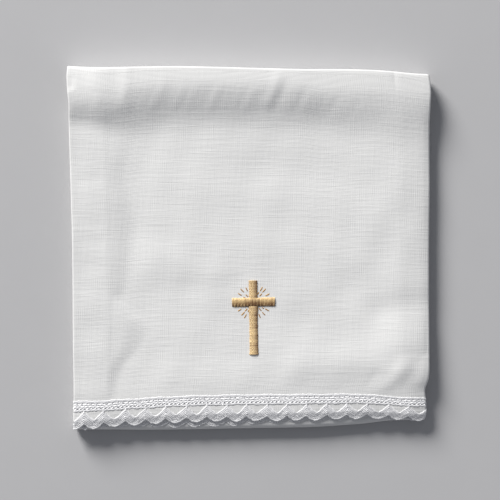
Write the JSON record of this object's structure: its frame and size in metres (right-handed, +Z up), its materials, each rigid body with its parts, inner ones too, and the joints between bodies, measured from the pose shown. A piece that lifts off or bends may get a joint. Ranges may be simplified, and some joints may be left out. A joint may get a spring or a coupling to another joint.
{
  "type": "folded corporal with lace edging and embroidered cross",
  "caption": "White square altar cloth folded into a small flat packet, with a scalloped lace edge along its front and a gold embroidered cross above it.",
  "frame": {"origin": "middle of the folded packet, on the surface it lies on", "axes": "+X to the right with the lace edge towards the viewer, +Y to the back fold, +Z up"},
  "size_m": [0.168, 0.1686, 0.0124],
  "materials": {
    "linen": "white slubby plain weave, matte, pressed along its folds",
    "lace": "white cotton thread lace, matte, slightly cooler than the linen",
    "gold_thread": "gold rayon satin stitch with a soft sheen"
  },
  "bodies": {
    "root": {"linen_square": "linen", "lace_edging": "lace", "cross_embroidery": "gold_thread"}
  },
  "joints": []
}
